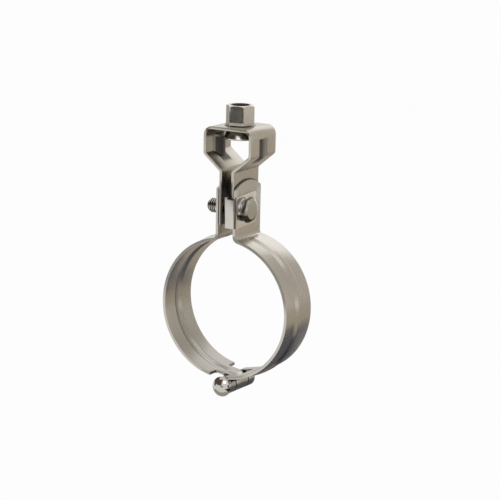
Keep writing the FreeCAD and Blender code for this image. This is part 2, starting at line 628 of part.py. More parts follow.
def make_clip_plate():
    """A bent plate on the right ear, drawn about the bolt's axis and turned about it."""
    body = add_body("clip_plate")
    sheet = size("clip_thickness")
    bend = size("clip_bend_radius")
    back = CLIP_SEAT
    face = back + sheet
    half = size("clip_height") / 2
    swing = (half + size("clip_drop")) * math.sin(math.radians(size("clip_turn")))
    inner = size("bolt_offset") - size("band_width") / 2 - size("clip_gap") - bend - swing
    outer = inner - sheet
    edge = face - size("clip_flange_reach")
    outline = Outline((back, size("clip_rear_reach")))
    outline.line_to((back, inner + bend))
    outline.arc_to((back - bend, inner + bend), bend, 0, -90)
    outline.line_to((edge, inner), (edge, outer), (back - bend, outer))
    outline.arc_to((back - bend, inner + bend), bend + sheet, -90, 0)
    outline.line_to((face, size("clip_rear_reach")))
    sketch = add_sketch(body, "section", "XY_Plane", "-Sizes.clip_drop")
    sketch.addGeometry(outline.closed())
    add_pad(body, sketch, "Sizes.clip_height", both_ways=True)
    flange_top = "Sizes.clip_height / 2 - Sizes.clip_drop - Sizes.clip_flange_drop"
    above = add_sketch(body, "above_flange", "XY_Plane", flange_top)
    aside = outer - sheet
    above.addGeometry(Outline((edge - sheet, aside)).line_to((face + sheet, aside), (face + sheet, inner),
                                                             (edge - sheet, inner)).closed())
    add_pocket(body, above, away=True)
    nib = add_sketch(body, "nib", "XY_Plane", flange_top + " - Sizes.clip_thickness")
    corner = edge + size("clip_nib_width")
    nib.addGeometry(Outline((edge, inner)).line_to((edge, outer), (corner, outer), (corner, inner)).closed())
    add_pad(body, nib, "Sizes.clip_thickness + Sizes.clip_nib_height")
    hole = add_sketch(body, "bolt_hole", "YZ_Plane")
    add_circle(hole, BOLT_HOLE_RULE)
    add_pocket(body, hole, both_ways=True)
    turn = Rotation(Vector(1, 0, 0), size("clip_turn"))
    body.Placement = Placement(Vector(0, -size("bolt_offset"), BOLT_HEIGHT), turn)
    return body


PIECES = (
    make_swivel_nut(),
    make_yoke(),
    make_left_half_band(),
    make_right_half_band(),
    make_hinge_pin(),
    make_clamp_bolt(),
    make_clip_plate(),
)
DOCUMENT.recompute()

for thing in DOCUMENT.Objects:
    if "Invalid" in thing.State or "Error" in thing.State:
        raise RuntimeError(f"{thing.Name} did not build: {thing.State}")
for piece in PIECES:
    if piece.Shape.isNull() or not piece.Shape.isValid() or len(piece.Shape.Solids) != 1:
        raise RuntimeError(f"{piece.Label} is not one valid solid")

os.makedirs("parts", exist_ok=True)
for piece in PIECES:
    piece.Shape.exportStep(f"parts/{piece.Label}.step")
    box = piece.Shape.BoundBox
    print(f"{piece.Label}: {piece.Shape.Volume:.0f} mm3, X {box.XMin:.2f} to {box.XMax:.2f}, "
          f"Y {box.YMin:.2f} to {box.YMax:.2f}, Z {box.ZMin:.2f} to {box.ZMax:.2f}")
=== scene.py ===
# %% [markdown]
# # A hinged pipe hanger band, dressed for its picture
# The hanger is a stainless steel band of two halves, a folded yoke above it and a nut that turns on a rod.
# Its form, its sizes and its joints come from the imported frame, which is loaded first and never changed.
# This lesson makes the camera, the finishes, the finer forms that the frame leaves out, and the light. The
# finer forms are the bolt's thread and stepped collar, the rod's thread in the nut, the smooth dome of the
# pin, the flow of the band's rib and the softened edges of the sheet.

# %% The frame
import math

import bpy
from mathutils import Matrix, Quaternion, Vector


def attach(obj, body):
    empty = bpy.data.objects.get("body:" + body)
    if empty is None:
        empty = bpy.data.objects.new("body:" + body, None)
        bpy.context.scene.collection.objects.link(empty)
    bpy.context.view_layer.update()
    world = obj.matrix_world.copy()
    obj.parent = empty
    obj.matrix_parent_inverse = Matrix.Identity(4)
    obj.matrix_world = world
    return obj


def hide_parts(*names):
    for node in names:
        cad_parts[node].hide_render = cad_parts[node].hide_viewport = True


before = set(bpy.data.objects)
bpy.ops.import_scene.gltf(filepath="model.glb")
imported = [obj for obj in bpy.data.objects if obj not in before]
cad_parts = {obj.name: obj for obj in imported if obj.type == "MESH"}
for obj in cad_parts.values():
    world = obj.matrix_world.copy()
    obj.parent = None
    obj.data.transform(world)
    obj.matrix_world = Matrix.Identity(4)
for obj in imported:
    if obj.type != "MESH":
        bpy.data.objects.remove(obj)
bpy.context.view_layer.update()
MM = 0.001


print("the frame holds", sorted(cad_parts))

# %% [markdown]
# ## The camera
# A long lens stands far away, so that upright edges stay nearly parallel, as they do in product pictures.
# The camera is given by where it stands round the object, how far off, how large a millimetre looks in a
# picture 500 pixels wide, and where the pipe's centre falls in that picture. Aiming it by hand would also
# work, but numbers make it easy to nudge one thing at a time while the two pictures are compared.

# %% Camera
PICTURE_PIXELS = 500
SENSOR = 36.0
CLIP_NEAR, CLIP_FAR = 0.05, 50


def aim_camera(azimuth, elevation, roll, distance, pixels_per_mm, centre_pixel):
    """Places the camera round the origin and shifts its frame until the origin falls on centre_pixel."""
    turn, rise, lean = (math.radians(angle) for angle in (azimuth, elevation, roll))
    back = Vector((math.sin(turn) * math.cos(rise), -math.cos(turn) * math.cos(rise), math.sin(rise)))
    level = Vector((math.cos(turn), math.sin(turn), 0))
    above = back.cross(level)
    right = math.cos(lean) * level + math.sin(lean) * above
    up = math.cos(lean) * above - math.sin(lean) * level
    bpy.ops.object.camera_add()
    camera = bpy.context.object
    camera.name = "picture_camera"
    across = (PICTURE_PIXELS / 2 - centre_pixel[0]) / pixels_per_mm * MM
    upward = (centre_pixel[1] - PICTURE_PIXELS / 2) / pixels_per_mm * MM
    place = back * distance + right * across + up * upward
    camera.matrix_world = Matrix.Translation(place) @ Matrix((right, up, back)).transposed().to_4x4()
    camera.data.sensor_width = SENSOR
    camera.data.lens = pixels_per_mm / MM * distance * SENSOR / PICTURE_PIXELS
    camera.data.clip_start, camera.data.clip_end = CLIP_NEAR, CLIP_FAR
    bpy.context.scene.camera = camera
    return camera


camera = aim_camera(azimuth=30.3, elevation=11.95, roll=1.22, distance=1.4, pixels_per_mm=1.804,
                    centre_pixel=(236.4, 304.3))
print("lens of", round(camera.data.lens), "mm at", [round(value, 3) for value in camera.location])

# %% [markdown]
# ## Writing materials as sums
# A material is a network of nodes, and a long network is hard to read as code. It could be wired by hand in
# the shader editor, but then no line of text says what it does. Two small classes keep it short here.
# `Value` wraps the output of a node, so that a sum or a product of two values adds its Math node by itself.
# `Network` holds the nodes: its `node` method adds any node, sets it and feeds its sockets.

# %% Values and networks


class Value:
    """The output of a shader node, used in Python sums and products."""

    def __init__(self, network, socket):
        self.network = network
        self.socket = socket

    def __add__(self, other):
        return self.network.math("ADD", self, other)

    def __radd__(self, other):
        return self.network.math("ADD", other, self)

    def __sub__(self, other):
        return self.network.math("SUBTRACT", self, other)

    def __rsub__(self, other):
        return self.network.math("SUBTRACT", other, self)

    def __mul__(self, other):
        return self.network.math("MULTIPLY", self, other)

    def __rmul__(self, other):
        return self.network.math("MULTIPLY", other, self)


class Network:
    """The nodes of a material or of a world."""

    def __init__(self, tree):
        self.tree = tree

    def node(self, kind, settings, sockets, output=0):
        """Adds a node, sets it, feeds its sockets and gives one of its outputs."""
        made = self.tree.nodes.new(kind)
        for name, setting in settings.items():
            setattr(made, name, setting)
        for name, given in sockets.items():
            self.feed(made.inputs[name], given)
        return Value(self, made.outputs[output])

    def feed(self, socket, given):
        if isinstance(given, Value):
            self.tree.links.new(given.socket, socket)
        else:
            socket.default_value = given

    def math(self, operation, *given):
        return self.node("ShaderNodeMath", {"operation": operation}, dict(enumerate(given)))

    def most(self, value, *others):
        """The largest of some values."""
        for other in others:
            value = self.math("MAXIMUM", value, other)
        return value

    def ray(self, kind):
        """1 for rays of one kind and 0 for all others."""
        return self.node("ShaderNodeLightPath", {}, {}, kind)


# %% [markdown]
# ## One finish, one material
# Each finish of the real object, such as rolled strip or turned steel, becomes one material. The Principled
# shader does the work of every metal here: its colour, roughness and bump are mixed from noises. A picture
# of scratched steel could be wrapped on each piece too, but it repeats and needs unwrapping. A noise reads
# the place on the piece and never repeats, and stretching it along an axis turns round patches into lines,
# as rolling or a lathe tool leaves them.

# %% Finishes


class Finish(Network):
    """A material, with its Principled shader ready to be fed."""

    def __init__(self, name):
        self.material = bpy.data.materials.new(name)
        self.material.use_nodes = True
        super().__init__(self.material.node_tree)
        self.shader = self.tree.nodes["Principled BSDF"]

    def set(self, **given):
        for name, value in given.items():
            self.feed(self.shader.inputs[name.replace("_", " ")], value)

    def place(self):
        """The point on the piece, in the piece's own coordinates."""
        return self.node("ShaderNodeTexCoord", {}, {}, "Object")

    def noise(self, patches, detail=2.0, roughness=0.5):
        """Noise with its number of patches per metre given for each axis."""
        stretched = self.node("ShaderNodeMapping", {}, {"Vector": self.place(), "Scale": patches})
        sockets = {"Vector": stretched, "Scale": 1.0, "Detail": detail, "Roughness": roughness}
        return self.node("ShaderNodeTexNoise", {"noise_dimensions": "3D"}, sockets, "Fac")

    def between(self, share, first, second):
        """A colour that goes from the first to the second as the share goes from 0 to 1."""
        first, second = (given if isinstance(given, Value) else (*given, 1) for given in (first, second))
        # A Mix node has its share at socket 0, its two colours at 6 and 7 and their mix at output 2.
        return self.node("ShaderNodeMix", {"data_type": "RGBA"}, {0: share, 6: first, 7: second}, 2)

    def bump(self, height, depth):
        return self.node("ShaderNodeBump", {}, {"Height": height, "Distance": depth, "Strength": 1.0})


# %% [markdown]
# ## Masks from the place on a piece
# Painted shade and wear sit at known places of a piece, such as a recess or a bend. A mask is a number that
# is 1 there and 0 elsewhere, with a soft border between. It could be painted by hand on an unwrapped piece,
# but distances along the piece's axes say the same and stay sharp at any size. Limits are given in
# millimetres. A rise takes two of them, from nothing to full. A stretch takes four, from nothing to full
# and back to nothing.

# %% Masks


class Metal(Finish):
    """A finish whose painted shade and wear follow the place on the piece."""

    def along(self, axis):
        """The distance from the origin along X, Y or Z."""
        return self.node("ShaderNodeSeparateXYZ", {}, {"Vector": self.place()}, axis)

    def length(self, value):
        """A distance without its sign."""
        return self.math("ABSOLUTE", value)

    def radius(self, first_axis, second_axis, first_centre=0.0, second_centre=0.0):
        """The distance from an axis that runs along the third direction."""
        first = self.along(first_axis) - first_centre * MM
        second = self.along(second_axis) - second_centre * MM
        return self.math("SQRT", first * first + second * second)

    def rise(self, value, nothing, full):
        """A soft step from 0 to 1, which falls where the limit for full is the smaller one."""
        low, high, start, end = (nothing, full, 0.0, 1.0) if nothing < full else (full, nothing, 1.0, 0.0)
        sockets = {"Value": value, "From Min": low * MM, "From Max": high * MM,
                   "To Min": start, "To Max": end}
        return self.node("ShaderNodeMapRange", {"interpolation_type": "SMOOTHSTEP"}, sockets, "Result")

    def stretch(self, value, start, full, fading, end):
        """1 between the two middle limits and 0 outside the outer two."""
        return self.rise(value, start, full) * self.rise(value, end, fading)


# %% [markdown]
# ## Satin stainless strip
# The band, the yoke and the clip are cut from cold rolled strip. Rolling leaves fine lines along the strip,
# and handling leaves faint, large patches where the satin is duller. All the strips run round in the XZ
# plane, with their width along Y. So one noise that changes fast along Y and slowly along X and Z draws the
# rolling lines on every bend. A brushed image would have to be mapped on each fold. Painted shade makes the
# strip darker and a little duller where a piece's own mask says so.

# %% Satin strip
ROLLING_LINES, STRIP_GRAIN, HANDLING = (60, 2600, 60), (900, 5200, 900), (70, 90, 70)
LINE_TONE, HANDLING_TONE, GRAIN_TONE = 0.35, 0.50, 0.15
LINE_DULLNESS, HANDLING_DULLNESS, STRIP_SHADE_DULLNESS = 0.07, 0.08, 0.12
LINE_RELIEF, GRAIN_RELIEF, STRIP_RELIEF = 0.6, 0.4, 0.016 * MM
STRIP_SHADE_TONE, STRIP_SHADE_EVEN, STRIP_SHADE_PATCHY = (0.055, 0.048, 0.042), 0.80, 0.35


def satin_strip(name, light, dark, roughness, shaded_at):
    """Rolled strip between two tones, with painted shade where the given function puts it."""
    finish = Metal(name)
    lines = finish.noise(ROLLING_LINES, detail=3, roughness=0.6)
    grain = finish.noise(STRIP_GRAIN)
    patches = finish.noise(HANDLING, detail=3, roughness=0.55)
    share = lines * LINE_TONE + patches * HANDLING_TONE + grain * GRAIN_TONE
    # The piece's mask paints shade: it darkens the colour towards near black and dulls it a little.
    strip_shade = shaded_at(finish) * (STRIP_SHADE_EVEN + patches * STRIP_SHADE_PATCHY)
    duller = patches * HANDLING_DULLNESS + strip_shade * STRIP_SHADE_DULLNESS
    finish.set(
        Base_Color=finish.between(strip_shade, finish.between(share, dark, light), STRIP_SHADE_TONE),
        Metallic=1.0,
        Roughness=roughness - LINE_DULLNESS + lines * LINE_DULLNESS + duller,
        Normal=finish.bump(lines * LINE_RELIEF + grain * GRAIN_RELIEF, STRIP_RELIEF),
    )
    print("made", name)
    return finish.material


# %% [markdown]
# ## Painted shade on the half bands
# Shade is painted into the colour in the hollow of the rib, in the gaps between the hinge's knuckles and at
# the seam where the ears meet the yoke's legs. The upper part of the cut edges gets a painted dark
# reflection, and the inner face gets painted shade that grows towards its bottom, as the band's bottom
# does.
# A shade map baked from the shape would darken every inner corner alike, where these masks follow what is
# seen on the real one.

# %% Painted shade on the half bands
PIN_HEIGHT = -44.0
HOLLOW_RADIUS, HOLLOW_ACROSS, HOLLOW_SHADE = (38.15, 38.5, 39.4, 39.6), (-4.1, -3.3, -2.2, 2.6), 0.62
KNUCKLE_RADIUS, KNUCKLE_GAP, GAP_BORDER = (6.2, 5.6), 6.6, (0.75, 0.3)
EAR_SEAM_SIDE, EAR_SEAM_HEIGHT, SEAM_SHADE = (5.0, 4.8), (46, 48), 0.85
CUT_ACROSS, CUT_HEIGHT, CUT_RADIUS, CUT_EDGE_SHADE = (13.2, 13.4), (0, 12), (42, 41), 0.5
INNER_RADIUS, INNER_HEIGHT, INNER_SHADE, INNER_SHADE_BELOW = (38.5, 38.2), (-10, -42), 0.10, 0.32
BOTTOM_RADIUS, BOTTOM_HEIGHT, BOTTOM_SHADE = (39.5, 39.0), (-35, -37.5), 0.4


def shade_in_band(finish):
    side, width = finish.length(finish.along("X")), finish.length(finish.along("Y"))
    height = finish.along("Z")
    ring = finish.radius("X", "Z")
    # Painted shade in the rib's hollow.
    hollow = finish.stretch(ring, *HOLLOW_RADIUS) * finish.stretch(finish.along("Y"), *HOLLOW_ACROSS)
    # Painted shade in the gaps between the hinge's knuckles.
    knuckles = finish.rise(finish.radius("X", "Z", 0.0, PIN_HEIGHT), *KNUCKLE_RADIUS)
    gap = finish.rise(finish.length(width - KNUCKLE_GAP * MM), *GAP_BORDER)
    # Painted shade at the ears where they meet the yoke's legs.
    seam = finish.rise(side, *EAR_SEAM_SIDE) * finish.rise(height, *EAR_SEAM_HEIGHT)
    # A painted dark reflection on the upper part of the cut edges.
    cut_edge = finish.rise(width, *CUT_ACROSS) * finish.rise(height, *CUT_HEIGHT)
    cut_edge = cut_edge * finish.rise(ring, *CUT_RADIUS)
    # Painted shade on the inner face, growing towards its bottom.
    inner = INNER_SHADE + finish.rise(height, *INNER_HEIGHT) * INNER_SHADE_BELOW
    inner = inner * finish.rise(ring, *INNER_RADIUS)
    # Painted shade at the band's bottom.
    bottom = finish.rise(ring, *BOTTOM_RADIUS) * finish.rise(height, *BOTTOM_HEIGHT)
    return finish.most(hollow * HOLLOW_SHADE, knuckles * gap, seam * SEAM_SHADE, cut_edge * CUT_EDGE_SHADE, inner,
                       bottom * BOTTOM_SHADE)


band_finish = satin_strip("satin_band_strip", (0.66, 0.62, 0.56), (0.49, 0.46, 0.41), 0.26, shade_in_band)

# %% [markdown]
# ## Painted shade in the yoke
# Shade is painted into the yoke's two darts, above all on their front flank and at their depth, onto its
# inner faces near the top, into the corners under its top plate and between its legs. A ring of painted
# shadow lies round the nut's foot and is darkest at its left and right ends as the camera sees them. A thin
# painted shadow line follows the round top of each ear where it lies on a leg, and the legs get painted
# shade where the ears cover them. Each is one product of rises and stretches, so each can be moved or
# paled without touching the rest.

# %% Painted shade in the yoke
DART_SIDE, DART_HEIGHT, DART_ACROSS = (15.0, 14.3), (79.5, 81.5, 93, 94.5), (-4.5, -4.2, 4.2, 4.5)
DART_FLANK, DART_DEPTH, DART_SHADE = (0.1, -0.5), (14.9, 12.6), 0.85
UPRIGHT_SIDE, UPRIGHT_HEIGHT, UPRIGHT_SHADE = (13.65, 13.45), (83, 85), 0.14
CORNER_HEIGHT, CORNER_SHADE = (93.5, 95.5, 98.95, 99.1), 0.85
LEG_SIDE, LEG_HEIGHT, LEG_SHADE = (4.2, 3.6), (73, 69), 0.85
RING_RADIUS, RING_HEIGHT, RING_SHADE = (7.2, 7.8, 8.4, 9.0), (100.2, 100.4), 0.45
VIEW_ACROSS_X, VIEW_ACROSS_Y, VIEW_SIDES = 0.863, 0.505, (6.9, 7.4)
ARCH_CENTRE, ARCH_RADIUS = 46.9, (23.5, 23.8, 24.4, 24.9)
ARCH_SIDE, ARCH_HEIGHT, ARCH_SHADE = (4.45, 4.55), (62, 64), 0.8
LEG_SEAM_SIDE, LEG_SEAM_HEIGHT = (4.2, 4.4, 5.0, 5.2), (67, 66)


def shade_in_yoke(finish):
    side, across, height = finish.length(finish.along("X")), finish.along("Y"), finish.along("Z")
    # Painted shadow in the darts, strongest on their front flank and at their depth.
    dart = finish.rise(side, *DART_SIDE) * finish.stretch(height, *DART_HEIGHT)
    dart = dart * finish.stretch(across, *DART_ACROSS)
    dart = dart * finish.most(finish.rise(across, *DART_FLANK), finish.rise(side, *DART_DEPTH))
    # Painted shade on the inner faces near the top and in the corners under the top plate.
    upright = finish.rise(side, *UPRIGHT_SIDE)
    corner = upright * finish.stretch(height, *CORNER_HEIGHT)
    # Painted shade between the legs.
    legs = finish.rise(side, *LEG_SIDE) * finish.rise(height, *LEG_HEIGHT)
    # A painted shadow ring round the nut's foot, darker at its left and right ends as the camera sees them.
    ring = finish.stretch(finish.radius("X", "Y"), *RING_RADIUS) * finish.rise(height, *RING_HEIGHT)
    darker_sides = finish.rise(finish.length(finish.along("X") * VIEW_ACROSS_X + across * VIEW_ACROSS_Y), *VIEW_SIDES)
    # A painted shadow line along the round top of each ear.
    arch = finish.stretch(finish.radius("Y", "Z", 0.0, ARCH_CENTRE), *ARCH_RADIUS)
    arch = arch * finish.rise(side, *ARCH_SIDE) * finish.rise(height, *ARCH_HEIGHT)
    # Painted shade on the legs where the ears cover them.
    seam = finish.stretch(side, *LEG_SEAM_SIDE) * finish.rise(height, *LEG_SEAM_HEIGHT)
    upright = upright * finish.rise(height, *UPRIGHT_HEIGHT)
    return finish.most(dart * DART_SHADE, corner * CORNER_SHADE, legs * LEG_SHADE, upright * UPRIGHT_SHADE,
                       ring * (RING_SHADE + darker_sides * RING_SHADE), arch * ARCH_SHADE, seam * SEAM_SHADE)


yoke_finish = satin_strip("satin_yoke_strip", (0.665, 0.625, 0.55), (0.505, 0.475, 0.41), 0.28,
                          shade_in_yoke)

# %% [markdown]
# ## Painted shade on the clip
# The clip is a thinner and paler strip than the other two. Shade is painted dark along its sharp bend and
# lightly on its flange. The rest of it is left plain, so two masks are enough.

# %% Painted shade on the clip
BEND_OUT, BEND_SHADE = (6.0, 6.4, 7.45, 7.64), 0.9
FLANGE_ACROSS, FLANGE_SHADE = (-14.4, -14.9), 0.3


def shade_on_clip(finish):
    # Painted shade along the bend and, more lightly, on the flange.
    flange = finish.rise(finish.along("Y"), *FLANGE_ACROSS)
    bend = finish.stretch(finish.along("X"), *BEND_OUT) * flange
    return finish.most(bend * BEND_SHADE, flange * FLANGE_SHADE)


clip_finish = satin_strip("satin_clip_strip", (0.95, 0.91, 0.83), (0.82, 0.78, 0.71), 0.28, shade_on_clip)

# %% [markdown]
# ## Bright turned steel
# The nut and the pin are turned on a lathe and tumbled, so they are nearly mirror bright, with faint rings
# from the tool. The bolt is formed cold and only half bright. A low roughness with a small, slow change
# makes the reflections break up a little, where an even gloss would look like glass. Painted shade darkens
# the metal without dulling it much, and a scuffed place is dull without being dark, so each has a mask of
# its own.

# %% Bright steel
TOOL_RINGS, SLOW_CHANGE, WEAR = 3200, 140, (420, 420, 420)
RING_TONE, WEAR_TONE = 0.3, 0.7
RING_DULLNESS, WEAR_DULLNESS, STEEL_SHADE_DULLNESS, SCUFF_DULLNESS = 0.04, 0.06, 0.06, 0.5
RING_RELIEF, WEAR_RELIEF, STEEL_RELIEF = 0.5, 0.5, 0.005 * MM
STEEL_SHADE_TONE = (0.030, 0.027, 0.024)


def bright_steel(name, light, dark, roughness, ring_axis, shaded_by=None, scuffed=None):
    """Turned steel between two tones, with the tool's rings stacked along an axis, 0 to 2 for X to Z."""
    finish = Metal(name)
    changes = [SLOW_CHANGE] * 3
    changes[ring_axis] = TOOL_RINGS
    rings = finish.noise(changes)
    wear = finish.noise(WEAR, detail=4, roughness=0.6)
    colour = finish.between(rings * RING_TONE + wear * WEAR_TONE, dark, light)
    duller = wear * WEAR_DULLNESS
    # The piece's mask paints shade: it darkens the colour towards near black.
    if shaded_by:
        steel_shade = shaded_by(finish)
        colour = finish.between(steel_shade, colour, STEEL_SHADE_TONE)
        duller = duller + steel_shade * STEEL_SHADE_DULLNESS
    if scuffed:
        duller = duller + scuffed(finish) * SCUFF_DULLNESS
    finish.set(
        Base_Color=colour,
        Metallic=1.0,
        Roughness=roughness - RING_DULLNESS + rings * RING_DULLNESS + duller,
        Normal=finish.bump(rings * RING_RELIEF + wear * WEAR_RELIEF, STEEL_RELIEF),
    )
    print("made", name)
    return finish.material


# %% [markdown]
# ## Painted shade and wear on the nut and the pin
# The nut is screwed on a rod. Shade is painted dark into its bore and, more lightly, onto its swaged collar
# under the yoke's top plate. The foot of its hexagon rubs just above the yoke and is scuffed dull. The pin
# shows clean metal only.

# %% Nut and pin steel
BORE_RADIUS, BORE_SHADE = (5.75, 5.5), 0.95
SWAGED_HEIGHT, COLLAR_SHADE = (93.9, 94.4, 98.8, 99.6), 0.5
SCUFFED_HEIGHT = (100.9, 101.0, 102.3, 102.6)


def shade_in_nut(finish):
    # Painted shade in the bore and on the collar under the top plate.
    bore = finish.rise(finish.radius("X", "Y"), *BORE_RADIUS)
    collar = finish.stretch(finish.along("Z"), *SWAGED_HEIGHT)
    return finish.most(bore * BORE_SHADE, collar * COLLAR_SHADE)


def scuffed_foot(finish):
    return finish.stretch(finish.along("Z"), *SCUFFED_HEIGHT)


nut_finish = bright_steel("bright_nut_steel", (0.71, 0.67, 0.60), (0.58, 0.54, 0.48), 0.14, 2,
                          shade_in_nut, scuffed_foot)
pin_finish = bright_steel("bright_pin_steel", (0.62, 0.60, 0.55), (0.50, 0.48, 0.44), 0.13, 1)

# %% [markdown]
# ## Painted shade on the bolt
# Shade is painted into the roots of the bolt's thread, into the grooves of its collar, onto the flanks of
# the collar and the head and round the head's lower half. Two narrow edges are left out of it and stay
# light, as painted highlights. One dark steel all over would hide these lines of light and shade.

# %% Bolt steel
BOLT_HEIGHT, BOLT_AHEAD = 55.75, 6.7
ROOT_RADIUS, ROOT_ALONG = (3.95, 3.6), (-14.0, -13.6, 6, 7)
GROOVE_RADIUS, GROOVE_ALONG = (5.6, 5.4), (7.3, 7.5, 10.0, 10.4)
DEEP_SHADE = 0.9
FLANK_RADIUS, FLANK_ALONG, FLANK_SHADE = (5.7, 6.0), (12.3, 12.0), 0.55
HIGHLIGHT_EDGES, EDGE_BORDER = (8.35, 9.45), (0.25, 0.4)
BELOW_HEIGHT, BELOW_ALONG, BELOW_RADIUS, BELOW_SHADE = (54.3, 53.0), (7.6, 7.8), (4.9, 5.3), 0.94


def shade_on_bolt(finish):
    out, along = finish.radius("Y", "Z", -BOLT_AHEAD, BOLT_HEIGHT), finish.along("X")
    # Painted shade in the thread's roots, the collar's grooves, on the flanks and under the head.
    root = finish.rise(out, *ROOT_RADIUS) * finish.stretch(along, *ROOT_ALONG)
    groove = finish.rise(out, *GROOVE_RADIUS) * finish.stretch(along, *GROOVE_ALONG)
    flanks = finish.rise(out, *FLANK_RADIUS) * finish.rise(along, *FLANK_ALONG)
    # Two narrow edges are left out of the painted shade and stay light, as painted highlights.
    for highlight_edge in HIGHLIGHT_EDGES:
        flanks = flanks * finish.rise(finish.length(along - highlight_edge * MM), *EDGE_BORDER)
    below = finish.rise(finish.along("Z"), *BELOW_HEIGHT) * finish.rise(along, *BELOW_ALONG)
    below = below * finish.rise(out, *BELOW_RADIUS)
    return finish.most(root * DEEP_SHADE, groove * DEEP_SHADE, flanks * FLANK_SHADE, below * BELOW_SHADE)


bolt_finish = bright_steel("cold_formed_bolt_steel", (0.62, 0.59, 0.53), (0.48, 0.46, 0.41), 0.20, 0,
                           shade_on_bolt)

# %% [markdown]
# ## Small helpers for modelling
# Every operator works on all that is selected, so each step starts by letting go of everything. A finished
# piece keeps its object at the origin, with its place in its mesh, as the frame's own nodes do. The last
# helper does what every piece needs at its end, so that no piece can miss a step.

# %% Selecting and finishing
MERGE_REACH = 0.001 * MM


def let_go():
    if bpy.context.object and bpy.context.object.mode != "OBJECT":
        bpy.ops.object.mode_set(mode="OBJECT")
    bpy.ops.object.select_all(action="DESELECT")


def take(piece):
    """Makes a piece the only one selected."""
    let_go()
    piece.select_set(True)
    bpy.context.view_layer.objects.active = piece


def apply_modifier(piece, kind, **settings):
    """Adds a modifier, sets it and applies it."""
    take(piece)
    modifier = piece.modifiers.new(kind.lower(), kind)
    for name, value in settings.items():
        setattr(modifier, name, value)
    bpy.ops.object.modifier_apply(modifier=modifier.name)


def clean_mesh(piece):
    """Merges points that coincide and turns all faces outwards."""
    take(piece)
    bpy.ops.object.mode_set(mode="EDIT")
    bpy.ops.mesh.select_all(action="SELECT")
    bpy.ops.mesh.remove_doubles(threshold=MERGE_REACH)
    bpy.ops.mesh.normals_make_consistent(inside=False)
    bpy.ops.object.mode_set(mode="OBJECT")


def smooth(piece, angle=30):
    take(piece)
    bpy.ops.object.shade_smooth_by_angle(angle=math.radians(angle))


def settle(piece, finish, body, node):
    """Gives a finished piece its material, the body it moves with and the node that it stands for."""
    take(piece)
    bpy.ops.object.transform_apply(location=True, rotation=True, scale=True)
    piece.data.materials.clear()
    piece.data.materials.append(finish)
    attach(piece, body)
    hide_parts(node)
    print(piece.name, "has", len(piece.data.polygons), "faces and rides on", body)


# %% [markdown]
# ## Softened sheet pieces
# Punched and folded sheet never has knife-sharp edges: they are a tenth or two of a millimetre round, and
# that is what draws the thin bright line along each edge in a picture. The frame's meshes have exact forms
# but sharp edges. A copy is merged, its flat triangles are joined into larger faces, and a bevel that
# touches only the sharp edges rounds them. Redrawing each fold by hand could only copy what is there.

# %% The yoke and the clip
FLAT_WITHIN = math.radians(0.4)
YOKE_ROUNDING, CLIP_ROUNDING = 0.26 * MM, 0.25 * MM


def copy_node(node, name):
    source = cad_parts[node]
    piece = bpy.data.objects.new(name, source.data.copy())
    bpy.context.collection.objects.link(piece)
    clean_mesh(piece)
    bpy.ops.object.mode_set(mode="EDIT")
    bpy.ops.mesh.dissolve_limited(angle_limit=FLAT_WITHIN)
    bpy.ops.object.mode_set(mode="OBJECT")
    return piece


def round_edges(piece, width, segments=2, sharper_than=32):
    apply_modifier(piece, "BEVEL", width=width, segments=segments, limit_method="ANGLE",
                   angle_limit=math.radians(sharper_than), use_clamp_overlap=True, harden_normals=False)


yoke = copy_node("yoke", "folded_yoke")
round_edges(yoke, YOKE_ROUNDING, segments=3)
smooth(yoke)
settle(yoke, yoke_finish, "hanger", "yoke")

clip = copy_node("clip_plate", "bent_clip_plate")
round_edges(clip, CLIP_ROUNDING)
smooth(clip)
settle(clip, clip_finish, "clip", "clip_plate")

# %% [markdown]
# ## The two half bands
# Each half is one strip with an ear, a half ring and its hinge tongues. A rib is pressed into it to stiffen
# the thin sheet. The frame draws the rib with a flat crest and straight sides. Pressed sheet flows round
# such lines, so the edges of the rib are selected by their place and get a far wider bevel than the rest.
# A subdivision surface would flow as well, but it would also pull in the punched edges and the hole.

# %% Half bands
RIB_HALF_WIDTH, RIB_ROUNDING, RIB_SHARPNESS = 4.0 * MM, 1.3 * MM, math.radians(12)
RING_INSIDE, RING_OUTSIDE, CLEAR_OF_ENDS = 37.8 * MM, 41.2 * MM, 7 * MM
BAND_ROUNDING = 0.3 * MM


def on_rib(point):
    """Whether a point lies on the rib, away from the ear and from the hinge."""
    on_ring = RING_INSIDE < math.hypot(point.x, point.z) < RING_OUTSIDE
    return on_ring and abs(point.y) < RIB_HALF_WIDTH and abs(point.x) > CLEAR_OF_ENDS


def round_rib(piece):
    """Rounds the long edges of the rib and of its hollow."""
    take(piece)
    bpy.ops.object.mode_set(mode="EDIT")
    bpy.ops.mesh.select_all(action="DESELECT")
    bpy.ops.mesh.select_mode(type="EDGE")
    bpy.ops.mesh.edges_select_sharp(sharpness=RIB_SHARPNESS)
    bpy.ops.object.mode_set(mode="OBJECT")
    points = piece.data.vertices
    for edge in piece.data.edges:
        edge.select = edge.select and all(on_rib(points[index].co) for index in edge.vertices)
    print(piece.name, "has", sum(edge.select for edge in piece.data.edges), "rib edges to round")
    bpy.ops.object.mode_set(mode="EDIT")
    bpy.ops.mesh.bevel(offset=RIB_ROUNDING, segments=4, affect="EDGES", clamp_overlap=True)
    bpy.ops.mesh.select_mode(type="VERT")
    bpy.ops.object.mode_set(mode="OBJECT")


for node, name, body in (("left_half_band", "left_band_strip", "hanger"),
                         ("right_half_band", "right_band_strip", "swing_half")):
    half = copy_node(node, name)
    round_rib(half)
    round_edges(half, BAND_ROUNDING, sharper_than=40)
    smooth(half)
    settle(half, band_finish, body, node)

